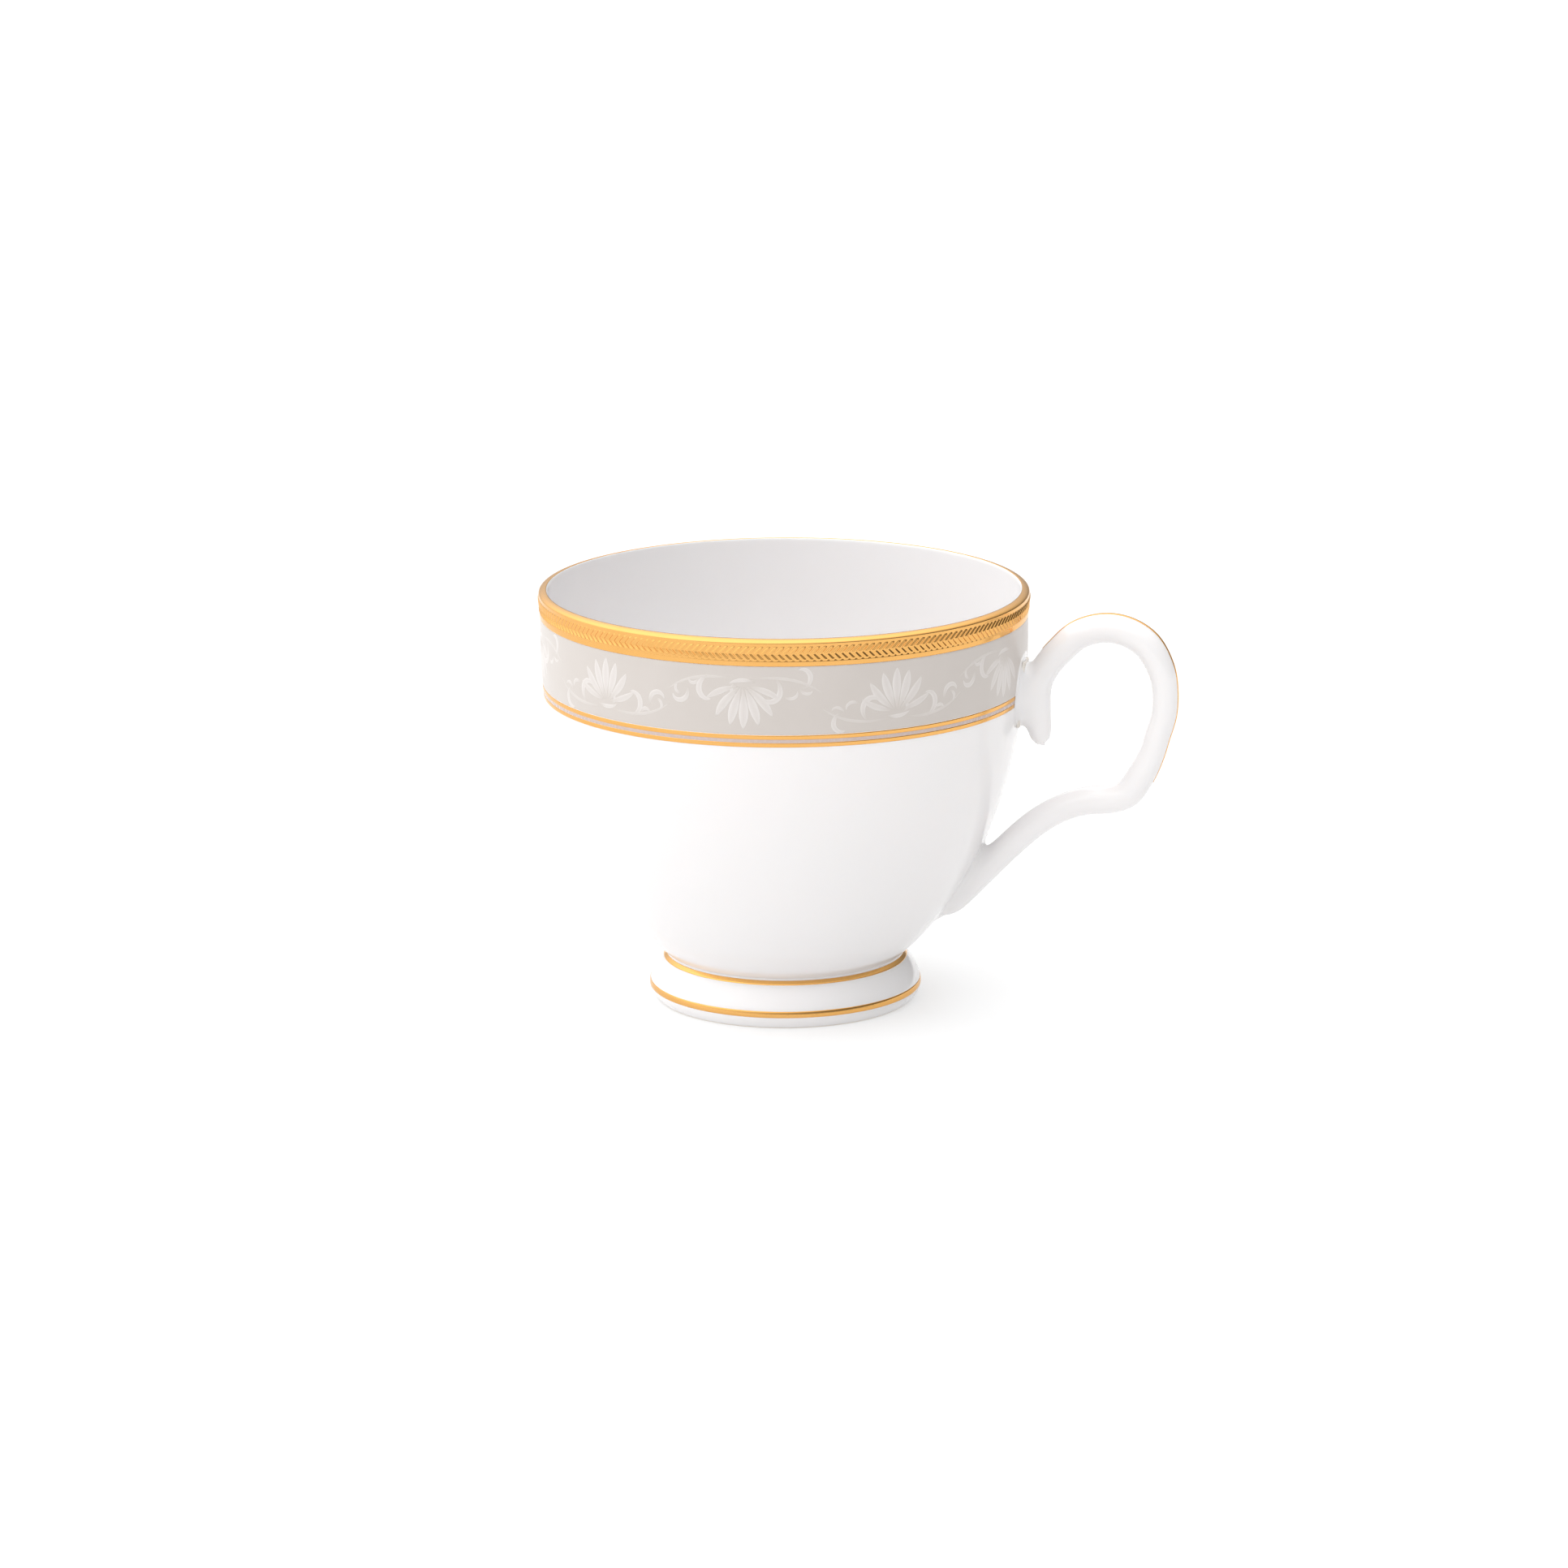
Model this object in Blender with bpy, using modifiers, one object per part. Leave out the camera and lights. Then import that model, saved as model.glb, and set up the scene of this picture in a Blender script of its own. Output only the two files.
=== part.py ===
"""Footed porcelain teacup with a looped handle, gilded rim, decal band and gold lines.

The cup is three fired castings (bowl, foot ring, handle) stuck together with clay slip, and the
thin enamel and gold layers that were fired on afterwards. All lengths below are millimetres;
the model is built in metres. +Z is up, the handle points to +X, and the table is at Z = 0.
The origin is under the middle of the whole cup, handle included.
"""

import math

import bmesh
import bpy
from mathutils import Vector

MM = 0.001

# ---- driving dimensions (mm) ---------------------------------------------------------------
HEIGHT = 72.6               # table to the top of the lip
BODY_RADIUS = 42.0          # bowl outside, at its widest
SHOULDER_HEIGHT = 64.0      # the bowl is upright above this and half an ellipse below it
LIP_RADIUS = 42.2           # outside of the lip bead
LIP_BORE_RADIUS = 41.0      # inside of the lip bead
NECK_DROP = 3.0             # lip to where the bead starts to swell out of the wall
BORE_RADIUS = 40.7          # bowl inside, at the shoulder
FLOOR_HEIGHT = 7.0          # bowl inside, at the middle of the floor
BORE_ROUNDNESS = 2.08       # 2 is a true ellipse, more is fuller
UNDERSIDE_HEIGHT = 4.8      # flat of the bowl's underside, inside the foot
CREASE_RADIUS = 20.5        # where the foot meets the bowl outside

FOOT_RADIUS = 23.65         # foot at its widest
FOOT_WIDEST_HEIGHT = 2.5
FOOT_BULGE = 3.1            # how far the foot stands out beyond the crease
FOOT_TREAD_OUTER = 22.3     # the unglazed ring that stands on the table
FOOT_TREAD_INNER = 19.7
FOOT_INNER_TOP_RADIUS = 18.0
FOOT_TREAD_ROUND = 0.3      # corners of the tread
FOOT_SEAT_EDGE = 0.15       # drop from the seat's corner to the start of the outside

SLIP_GAP = 0.15             # bowl to slip
SLIP_THICKNESS = 0.4
PART_GAP = 0.7              # bowl to the casting that is stuck on it

FILM_GAP = 0.06             # ceramic to a fired-on layer
FILM_THICKNESS = 0.15
FILM_SEAM = 0.1             # between neighbouring layers
RIM_GILDING_WIDTH = 4.5     # measured down from the lip
GILDING_WALL_DROP = 1.5     # lip to the first ring of the gilding on the straight wall
DECAL_BOTTOM = 56.35        # lower edge of the beige band
GOLD_LINE_WIDTH = 0.7
TAUPE_LINE_WIDTH = 0.6
FOOT_UPPER_LINE = (7.5, 6.7)    # top and bottom heights
FOOT_LOWER_LINE = (3.3, 2.1)

# Handle, seen square on: distance from the cup's axis, height, tube radius. The path starts at
# the tail under the root, climbs past the root, loops over and comes down onto the bowl.
HANDLE_PATH = (
    (45.2, 47.0, 0.4), (45.05, 47.5, 1.45), (44.7, 49.3, 2.08), (44.3, 53.0, 2.35),
    (44.4, 57.0, 2.4), (45.6, 60.2, 2.5), (48.0, 63.25, 2.6), (51.3, 66.3, 2.65),
    (55.6, 67.65, 2.75), (59.7, 67.1, 2.75), (63.2, 64.95, 2.7), (65.45, 61.1, 2.5),
    (66.3, 57.2, 2.35), (66.2, 53.0, 2.3), (65.1, 49.0, 2.3), (64.15, 45.8, 2.33),
    (62.6, 42.5, 2.4), (60.3, 38.9, 2.5), (57.15, 37.5, 2.5), (53.4, 37.1, 2.5),
    (49.45, 35.9, 2.4), (45.5, 33.7, 2.4), (41.55, 30.45, 2.4), (36.0, 24.8, 2.35),
    (32.4, 20.9, 2.3), (30.0, 18.3, 2.1), (28.3, 16.8, 1.5), (27.5, 16.1, 0.6),
)
HANDLE_SIDE_SAMPLES = 3     # tube rings between two path points
# Root web between the handle's stem and the bowl: the same two measures for each corner.
ROOT_WEB_OUTLINE = (
    (40.4, 61.6), (42.2, 61.4), (43.2, 61.1), (44.0, 61.9), (45.5, 60.6),
    (45.2, 48.6), (44.0, 47.6), (42.9, 49.2), (42.0, 49.9), (40.4, 50.0),
)
ROOT_WEB_WIDTH = 4.6
ROOT_BARE_HALF_WIDTH = 5.7      # glaze left bare each side of the root by the band and its lines
ROOT_BARE_TOP = 62.8            # and above it
ROOT_BARE_REACH = (35.0, 50.0)  # from the cup's axis
ROOT_BARE_BOTTOM = 45.0
HANDLE_SLIP_SPLIT = 44.0        # height between the upper joint and the lower one
HANDLE_HALF_WIDTH = 10.0        # more than the handle's, for its cutters
HANDLE_JOINTS = (10.0, 64.0)    # heights that take in both joints
BOWL_CUTTER_BOTTOM = 9.0
HANDLE_LINE_RINGS = 36
TANGENT_STEP = 0.002            # share of the handle's path
HANDLE_LINE_RADIUS = 0.2
HANDLE_LINE_SPAN = (0.212, 0.593)     # part of the path that carries the gold line

STEPS = 60                  # facets around the cup, the same on every turned piece
OUTER_RINGS = 12
INNER_RINGS = 10
LIP_RINGS = 4

RIM_REACH = LIP_RADIUS + FILM_GAP + FILM_THICKNESS
HANDLE_LINE_RISE = FILM_GAP + HANDLE_LINE_RADIUS
HANDLE_REACH = max(x + radius for x, height, radius in HANDLE_PATH) + HANDLE_LINE_RISE + HANDLE_LINE_RADIUS
CUP_AXIS_X = (RIM_REACH - HANDLE_REACH) / 2
LIP_BEAD = (LIP_RADIUS - LIP_BORE_RADIUS) / 2


# ---- scene helpers -------------------------------------------------------------------------
def clear_scene():
    for obj in list(bpy.data.objects):
        bpy.data.objects.remove(obj, do_unlink=True)


def new_collection(name):
    collection = bpy.data.collections.new(name)
    bpy.context.scene.collection.children.link(collection)
    return collection


def principled(name, color, roughness, metallic=0.0):
    material = bpy.data.materials.new(name)
    material.use_nodes = True
    shader = material.node_tree.nodes["Principled BSDF"]
    shader.inputs["Base Color"].default_value = (*color, 1.0)
    shader.inputs["Roughness"].default_value = roughness
    shader.inputs["Metallic"].default_value = metallic
    material.diffuse_color = (*color, 1.0)
    return material


def add_object(name, data, collection, material=None):
    obj = bpy.data.objects.new(name, data)
    collection.objects.link(obj)
    if material:
        data.materials.append(material)
    return obj


def as_cutter(obj):
    obj.hide_render = True
    obj.display_type = "WIRE"
    return obj


def add_boolean(obj, operation, cutter):
    modifier = obj.modifiers.new(f"{operation.lower()} {cutter.name}", "BOOLEAN")
    modifier.operation = operation
    modifier.object = cutter
    modifier.solver = "EXACT"


def shade_round(mesh, angle=40.0):
    mesh.shade_smooth()
    mesh.set_sharp_from_angle(angle=math.radians(angle))


def turned(name, profile, collection, material=None, closed=True):
    """Revolve (radius, height) points about the cup's axis. The profile runs down its outer side."""
    mesh = bpy.data.meshes.new(name)
    points = [(r * MM, 0.0, h * MM) for r, h in profile]
    edges = [(i, i + 1) for i in range(len(points) - 1)]
    if closed:
        edges.append((len(points) - 1, 0))
    mesh.from_pydata(points, edges, [])
    obj = add_object(name, mesh, collection, material)
    obj.location.x = CUP_AXIS_X * MM
    screw = obj.modifiers.new("turn", "SCREW")
    screw.axis = "Z"
    screw.angle = 2 * math.pi
    screw.steps = STEPS
    screw.render_steps = STEPS
    screw.use_merge_vertices = True
    screw.merge_threshold = 0.00001
    screw.use_smooth_shade = True
    return obj


def mesh_from(obj, name, collection, material=None):
    """Evaluated copy of an object as a plain welded mesh; the original is removed."""
    depsgraph = bpy.context.evaluated_depsgraph_get()
    mesh = bpy.data.meshes.new_from_object(obj.evaluated_get(depsgraph))
    matrix = obj.matrix_world.copy()
    bpy.data.objects.remove(obj, do_unlink=True)
    work = bmesh.new()
    work.from_mesh(mesh)
    bmesh.ops.remove_doubles(work, verts=work.verts, dist=0.000005)
    bmesh.ops.recalc_face_normals(work, faces=work.faces)
    work.to_mesh(mesh)
    work.free()
    mesh.name = name
    mesh.materials.clear()
    made = add_object(name, mesh, collection, material)
    made.matrix_world = matrix
    return made


# ---- profiles ------------------------------------------------------------------------------
def outer_radius(height):
    """Bowl outside: half an ellipse standing on the table plane, upright above the shoulder."""
    drop = max(0.0, (SHOULDER_HEIGHT - height) / SHOULDER_HEIGHT)
    return BODY_RADIUS * math.sqrt(max(0.0, 1.0 - drop * drop))


def bore_radius(height):
    """Bowl inside: a slightly fuller half ellipse, easing out to the lip above the shoulder."""
    if height > SHOULDER_HEIGHT:
        ease = (height - SHOULDER_HEIGHT) / (HEIGHT - LIP_BEAD - SHOULDER_HEIGHT)
        return BORE_RADIUS + (LIP_BORE_RADIUS - BORE_RADIUS) * min(1.0, ease)
    drop = (SHOULDER_HEIGHT - height) / (SHOULDER_HEIGHT - FLOOR_HEIGHT)
    return BORE_RADIUS * max(0.0, 1.0 - drop ** BORE_ROUNDNESS) ** (1 / BORE_ROUNDNESS)


def bore_path():
    """Inside of the bowl from the middle of the floor up to the lip."""
    points = [(0.0, FLOOR_HEIGHT)]
    for i in range(1, INNER_RINGS + 1):
        turn = i / INNER_RINGS * math.pi / 2
        height = SHOULDER_HEIGHT - (SHOULDER_HEIGHT - FLOOR_HEIGHT) * math.cos(turn)
        points.append((bore_radius(height), height))
    return points


def lip_path():
    """Half-round lip, from its inside over the top to its outside."""
    middle = LIP_BORE_RADIUS + LIP_BEAD
    points = []
    for i in range(LIP_RINGS + 1):
        turn = math.pi * (1 - i / LIP_RINGS)
        points.append((middle + LIP_BEAD * math.cos(turn), HEIGHT - LIP_BEAD + LIP_BEAD * math.sin(turn)))
    return points


def neck_radius(height):
    """Outside between the lip bead and the shoulder: the bead dies into the straight wall."""
    start, end = HEIGHT - LIP_BEAD, HEIGHT - NECK_DROP
    if height >= start:
        return LIP_RADIUS
    if height > end:
        return BODY_RADIUS + (LIP_RADIUS - BODY_RADIUS) * (height - end) / (start - end)
    return outer_radius(height)


def outer_path(top, bottom, rings):
    """Outside of the bowl from one height down to another."""
    return [(neck_radius(top + (bottom - top) * i / rings), top + (bottom - top) * i / rings)
            for i in range(rings + 1)]


def height_on_bowl(radius):
    """Height where the bowl's outside has this radius."""
    return SHOULDER_HEIGHT * (1 - math.sqrt(1 - (radius / BODY_RADIUS) ** 2))


def under_path(outer, inner, rings):
    """Underneath of the bowl from one radius in to a smaller one."""
    radii = [outer + (inner - outer) * i / rings for i in range(rings + 1)]
    return [(r, height_on_bowl(r)) for r in radii]


def foot_radius(height):
    """Foot outside: a cushion that swells below the crease and rolls in to the tread."""
    crease_height = height_on_bowl(CREASE_RADIUS)
    if height > FOOT_WIDEST_HEIGHT:
        rise = (height - FOOT_WIDEST_HEIGHT) / (crease_height - FOOT_WIDEST_HEIGHT)
        return FOOT_RADIUS - FOOT_BULGE * rise ** 1.6
    fall = (FOOT_WIDEST_HEIGHT - height) / FOOT_WIDEST_HEIGHT
    return FOOT_RADIUS - (FOOT_RADIUS - FOOT_TREAD_OUTER) * fall ** 2.2


def foot_path(top, bottom, rings):
    heights = [top + (bottom - top) * i / rings for i in range(rings + 1)]
    return [(foot_radius(h), h) for h in heights]


def offset(path, distance):
    """Move a path sideways, away from the material on its right-hand side."""
    moved = []
    for i, (r, h) in enumerate(path):
        before, after = path[max(i - 1, 0)], path[min(i + 1, len(path) - 1)]
        along = Vector((after[0] - before[0], after[1] - before[1])).normalized()
        moved.append((r - along.y * distance, h + along.x * distance))
    return moved


def film(path, gap=FILM_GAP, thickness=FILM_THICKNESS):
    """Closed section of a thin layer that lies on a path."""
    return offset(path, gap + thickness) + offset(path, gap)[::-1]


# ---- castings ------------------------------------------------------------------------------
def make_bowl(parts, glaze):
    flat_edge = BODY_RADIUS * math.sqrt(1 - (1 - UNDERSIDE_HEIGHT / SHOULDER_HEIGHT) ** 2)
    wall = outer_path(HEIGHT - NECK_DROP, height_on_bowl(CREASE_RADIUS), OUTER_RINGS)
    under = under_path(CREASE_RADIUS, flat_edge, 3)[1:]
    profile = bore_path() + lip_path() + wall + under + [(0.0, UNDERSIDE_HEIGHT)]
    return turned("bowl", profile, parts, glaze, closed=False)


def make_foot_ring(parts, glaze):
    seat = offset(under_path(CREASE_RADIUS, FOOT_INNER_TOP_RADIUS, 3), PART_GAP)
    outside = foot_path(seat[0][1] - FOOT_SEAT_EDGE, FOOT_TREAD_ROUND, 9)
    tread = [
        (FOOT_TREAD_OUTER - FOOT_TREAD_ROUND, 0.0),
        (FOOT_TREAD_INNER + FOOT_TREAD_ROUND, 0.0),
        (FOOT_TREAD_INNER, FOOT_TREAD_ROUND),
    ]
    return turned("foot_ring", outside + tread + seat[::-1], parts, glaze)


def handle_point(t):
    """Smooth path through HANDLE_PATH (Catmull-Rom). t runs from 0 at the tail to 1 at the tip."""
    last = len(HANDLE_PATH) - 1
    i = min(int(t * last), last - 1)
    u = t * last - i
    near = [Vector(HANDLE_PATH[min(max(i + k, 0), last)]) for k in (-1, 0, 1, 2)]
    a, b, c, d = near
    return 0.5 * (2 * b + (c - a) * u + (2 * a - 5 * b + 4 * c - d) * u ** 2
                  + (3 * b - a - 3 * c + d) * u ** 3)


def tube(name, rings, collection, resolution):
    """Poly curve with round caps of its own radius at each (x, height, radius) in mm."""
    curve = bpy.data.curves.new(name, "CURVE")
    curve.dimensions = "3D"
    curve.bevel_depth = MM
    curve.bevel_resolution = resolution
    curve.use_fill_caps = True
    spline = curve.splines.new("POLY")
    spline.points.add(len(rings) - 1)
    for point, (x, h, radius) in zip(spline.points, rings):
        point.co = (x * MM, 0.0, h * MM, 1.0)
        point.radius = radius
    obj = add_object(name, curve, collection)
    obj.location.x = CUP_AXIS_X * MM
    return obj


def make_handle_blank(cutters):
    """Handle before it is trimmed to the bowl: the tube with its root web."""
    count = (len(HANDLE_PATH) - 1) * HANDLE_SIDE_SAMPLES
    rings = [handle_point(i / count) for i in range(count + 1)]
    blank = tube("handle_tube", rings, cutters, 4)
    bpy.context.view_layer.update()
    blank = mesh_from(blank, "handle_blank", cutters)
    add_boolean(blank, "UNION", make_root_web(cutters))
    return as_cutter(blank)


def make_root_web(cutters):
    curve = bpy.data.curves.new("root_web", "CURVE")
    curve.dimensions = "2D"
    curve.fill_mode = "BOTH"
    curve.extrude = ROOT_WEB_WIDTH / 2 * MM
    spline = curve.splines.new("POLY")
    spline.points.add(len(ROOT_WEB_OUTLINE) - 1)
    for point, (x, h) in zip(spline.points, ROOT_WEB_OUTLINE):
        point.co = (x * MM, h * MM, 0.0, 1.0)
    spline.use_cyclic_u = True
    web = add_object("root_web", curve, cutters)
    web.location.x = CUP_AXIS_X * MM
    web.rotation_euler.x = math.pi / 2
    bpy.context.view_layer.update()
    web = mesh_from(web, "root_web", cutters)
    return as_cutter(web)


def bowl_blank(name, distance, cutters):
    """The bowl's outside as a solid, grown by a distance."""
    wall = offset(outer_path(HEIGHT - NECK_DROP, BOWL_CUTTER_BOTTOM, 2 * OUTER_RINGS), distance)
    profile = [(0.0, wall[0][1])] + wall + [(0.0, wall[-1][1])]
    return as_cutter(turned(name, profile, cutters, closed=False))


def cutter_box(name, low, high, cutters):
    bpy.ops.mesh.primitive_cube_add(size=1.0)
    box = bpy.context.active_object
    for collection in list(box.users_collection):
        collection.objects.unlink(box)
    cutters.objects.link(box)
    box.name = name
    box.location = [(a + b) / 2 * MM for a, b in zip(low, high)]
    box.scale = [(b - a) * MM for a, b in zip(low, high)]
    return as_cutter(box)


def copy_of(blank, name, parts, material):
    piece = blank.copy()
    piece.data = blank.data.copy()
    piece.name = name
    piece.hide_render = False
    piece.display_type = "TEXTURED"
    piece.data.materials.clear()
    piece.data.materials.append(material)
    parts.objects.link(piece)
    return piece


def make_handle(parts, cutters, glaze, slip):
    blank = make_handle_blank(cutters)
    trimmed = bowl_blank("bowl_and_gap", PART_GAP, cutters)
    handle = copy_of(blank, "handle", parts, glaze)
    add_boolean(handle, "DIFFERENCE", trimmed)
    shade_round(handle.data)

    slip_outside = bowl_blank("slip_outside", SLIP_GAP + SLIP_THICKNESS, cutters)
    slip_inside = bowl_blank("slip_inside", SLIP_GAP, cutters)
    halves = (
        ("handle_upper_slip", HANDLE_SLIP_SPLIT, HANDLE_JOINTS[1]),
        ("handle_lower_slip", HANDLE_JOINTS[0], HANDLE_SLIP_SPLIT),
    )
    for name, low, high in halves:
        half = cutter_box("half_of_" + name, (CUP_AXIS_X, -HANDLE_HALF_WIDTH, low),
                          (CUP_AXIS_X + HANDLE_REACH, HANDLE_HALF_WIDTH, high), cutters)
        bed = copy_of(blank, name, parts, slip)
        add_boolean(bed, "INTERSECT", half)
        add_boolean(bed, "INTERSECT", slip_outside)
        add_boolean(bed, "DIFFERENCE", slip_inside)


def make_foot_slip(parts, slip):
    bed = under_path(CREASE_RADIUS - 0.1, FOOT_INNER_TOP_RADIUS + 0.2, 3)
    turned("foot_slip", film(bed, SLIP_GAP, SLIP_THICKNESS), parts, slip)


# ---- fired-on layers -----------------------------------------------------------------------
def make_rim_gilding(parts, gold):
    crest_to_outside = lip_path()[LIP_RINGS // 2:]
    down = outer_path(HEIGHT - GILDING_WALL_DROP, HEIGHT - RIM_GILDING_WIDTH, 4)
    turned("rim_gilding", film(crest_to_outside + down), parts, gold)


def make_band(name, top, bottom, parts, material, clearance, rings=2):
    """Layer around the bowl, stopping short of the handle's root."""
    band = turned(name, film(outer_path(top, bottom, rings)), parts, material)
    add_boolean(band, "DIFFERENCE", clearance)


def make_bands(parts, cutters, gold, beige, taupe):
    near, far = (CUP_AXIS_X + reach for reach in ROOT_BARE_REACH)
    clearance = cutter_box("root_clearance", (near, -ROOT_BARE_HALF_WIDTH, ROOT_BARE_BOTTOM),
                           (far, ROOT_BARE_HALF_WIDTH, ROOT_BARE_TOP), cutters)
    top = HEIGHT - RIM_GILDING_WIDTH - FILM_SEAM
    make_band("decal_band", top, DECAL_BOTTOM, parts, beige, clearance, rings=4)
    stripes = (
        ("gold_line_upper", GOLD_LINE_WIDTH, gold),
        ("taupe_line", TAUPE_LINE_WIDTH, taupe),
        ("gold_line_lower", GOLD_LINE_WIDTH, gold),
    )
    top = DECAL_BOTTOM - FILM_SEAM
    for name, width, material in stripes:
        make_band(name, top, top - width, parts, material, clearance, rings=1)
        top -= width + FILM_SEAM


def make_foot_lines(parts, gold):
    for name, (top, bottom) in (("foot_line_upper", FOOT_UPPER_LINE), ("foot_line_lower", FOOT_LOWER_LINE)):
        turned(name, film(foot_path(top, bottom, 2)), parts, gold)


def make_handle_line(parts, gold):
    """Gold line along the outside of the loop."""
    start, end = HANDLE_LINE_SPAN
    rings = []
    for i in range(HANDLE_LINE_RINGS + 1):
        t = start + (end - start) * i / HANDLE_LINE_RINGS
        here, ahead = handle_point(t), handle_point(t + TANGENT_STEP)
        along = Vector((ahead.x - here.x, ahead.y - here.y)).normalized()
        rise = here.z + HANDLE_LINE_RISE
        rings.append((here.x - along.y * rise, here.y + along.x * rise, HANDLE_LINE_RADIUS))
    line = tube("handle_gold_line", rings, parts, 2)
    bpy.context.view_layer.update()
    mesh_from(line, "handle_gold_line", parts, gold)


def main():
    clear_scene()
    parts = new_collection("teacup")
    cutters = new_collection("teacup_cutters")
    glaze = principled("glazed_porcelain", (0.85, 0.83, 0.81), 0.08)
    slip = principled("fired_slip", (0.82, 0.80, 0.76), 0.45)
    gold = principled("burnished_gold", (0.83, 0.55, 0.22), 0.18, metallic=1.0)
    beige = principled("beige_enamel", (0.65, 0.60, 0.56), 0.25)
    taupe = principled("taupe_enamel", (0.55, 0.45, 0.42), 0.25)
    make_bowl(parts, glaze)
    make_foot_ring(parts, glaze)
    make_handle(parts, cutters, glaze, slip)
    make_foot_slip(parts, slip)
    make_rim_gilding(parts, gold)
    make_bands(parts, cutters, gold, beige, taupe)
    make_foot_lines(parts, gold)
    make_handle_line(parts, gold)


main()
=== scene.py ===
# Footed porcelain teacup: fine surfaces and fired finishes laid round the fixed frame.
# Lengths are in millimetres and angles in degrees, except where a note says metres.
import math

import bpy
import numpy as np
import openvdb
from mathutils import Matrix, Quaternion, Vector


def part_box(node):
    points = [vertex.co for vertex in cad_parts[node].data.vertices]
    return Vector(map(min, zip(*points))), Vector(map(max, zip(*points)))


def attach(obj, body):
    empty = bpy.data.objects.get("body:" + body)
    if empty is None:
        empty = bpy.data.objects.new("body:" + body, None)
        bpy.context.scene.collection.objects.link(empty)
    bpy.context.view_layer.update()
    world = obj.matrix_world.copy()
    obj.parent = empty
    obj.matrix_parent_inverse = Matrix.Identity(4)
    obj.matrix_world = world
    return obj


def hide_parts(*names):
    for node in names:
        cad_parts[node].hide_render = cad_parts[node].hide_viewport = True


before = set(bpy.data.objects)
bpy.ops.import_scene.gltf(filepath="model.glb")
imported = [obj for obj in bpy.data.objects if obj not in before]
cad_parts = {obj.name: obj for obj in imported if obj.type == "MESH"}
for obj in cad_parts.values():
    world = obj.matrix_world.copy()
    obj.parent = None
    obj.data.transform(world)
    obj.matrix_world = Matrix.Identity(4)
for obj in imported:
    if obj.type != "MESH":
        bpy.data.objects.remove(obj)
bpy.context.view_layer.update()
print("frame loaded:", len(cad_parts), "castings and fired layers")

mm = 0.001
turn = 2 * np.pi
footLow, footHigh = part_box("foot_ring")
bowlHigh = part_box("bowl")[1]
axisX = (footLow.x + footHigh.x) / 2 / mm      # the cup is turned about this upright line

cup = {
    "height": bowlHigh.z / mm,      # table to the top of the lip
    "bodyRadius": 42.0,
    "shoulder": 64.0,               # upright above this height, a quarter ellipse below it
    "lipRadius": 42.2,
    "beadStart": 69.6,              # where the wall starts to swell out to the lip
    "boreRadius": 40.7,
    "boreRoundness": 2.08,          # power of the bore's curve; 2 would be an ellipse
    "lipCrest": 40.92,              # the lip is highest here and rounds down outwards
    "lipRise": 0.6,
    "floor": 7.0,                   # inside, at the middle
    "underside": 4.8,               # flat underneath, inside the foot
    "creaseRadius": 20.5,           # where the bowl and the foot meet
    "waver": 0.05,                  # how far the fired wall strays from a true circle
    "waverTurns": (0.7, 2.1),       # radians that its two-lobed and three-lobed parts start at
    "columns": 256,
    "boreSteps": 91,
    "collarSteps": 13,
    "lipSteps": 25,
    "wallSteps": 26,
    "sideSteps": 90,
    "underSteps": 9,
    "flatSteps": 10,
}
foot = {
    "radius": 23.65,
    "widestHeight": 2.5,
    "bulge": 3.1,                   # how far the foot draws in from its widest to the crease
    "upperRoundness": 1.6,
    "lowerRoundness": 2.2,
    "treadOuter": 22.3,
    "treadInner": 19.7,
    "treadEase": (0.25, 0.3),       # how far the flat stops short of its outer and inner edge
    "innerTop": 18.0,
    "innerEdgeHeight": 0.35,
    "innerLap": 0.1,                # how far the hollow's wall runs up into the bowl
    "innerPull": (0.2, 2.2),        # what bows the hollow's wall: out from its top, and height
    "creaseFillet": 0.55,           # glaze that pools where the foot meets the bowl
    "filletShares": (0.76, 0.75),   # of it, out along the bowl and down the foot
    "filletProud": 0.05,
    "creaseSteps": 9,
    "sideSteps": 48,
    "treadSteps": 6,
    "innerSteps": 14,
}
lipHeight = cup["height"] - cup["lipRise"]


def smoothStep(value, start, end):      # 3t^2 - 2t^3: 0 at start, 1 at end, level at both
    part = np.clip((value - start) / (end - start), 0, 1)
    return part * part * (3 - 2 * part)


def gridFaces(rows, columns, wrapRows=False, wrapColumns=True):
    # each face joins a grid point to the next one along its row and the two below
    i = np.arange(rows if wrapRows else rows - 1)[:, None]
    j = np.arange(columns if wrapColumns else columns - 1)[None, :]
    iNext, jNext = (i + 1) % rows, (j + 1) % columns
    corners = [i * columns + j, i * columns + jNext, iNext * columns + jNext, iNext * columns + j]
    return np.stack(corners, -1).reshape(-1, 4)


def signedVolume(points, faces):        # sum of corner . (corner x corner) / 6 over fans
    total = 0.0
    for block in faces:
        for k in range(1, block.shape[1] - 1):
            a, b, c = points[block[:, 0]], points[block[:, k]], points[block[:, k + 1]]
            total += np.einsum("ij,ij->", a, np.cross(b, c))
    return total / 6


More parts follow.
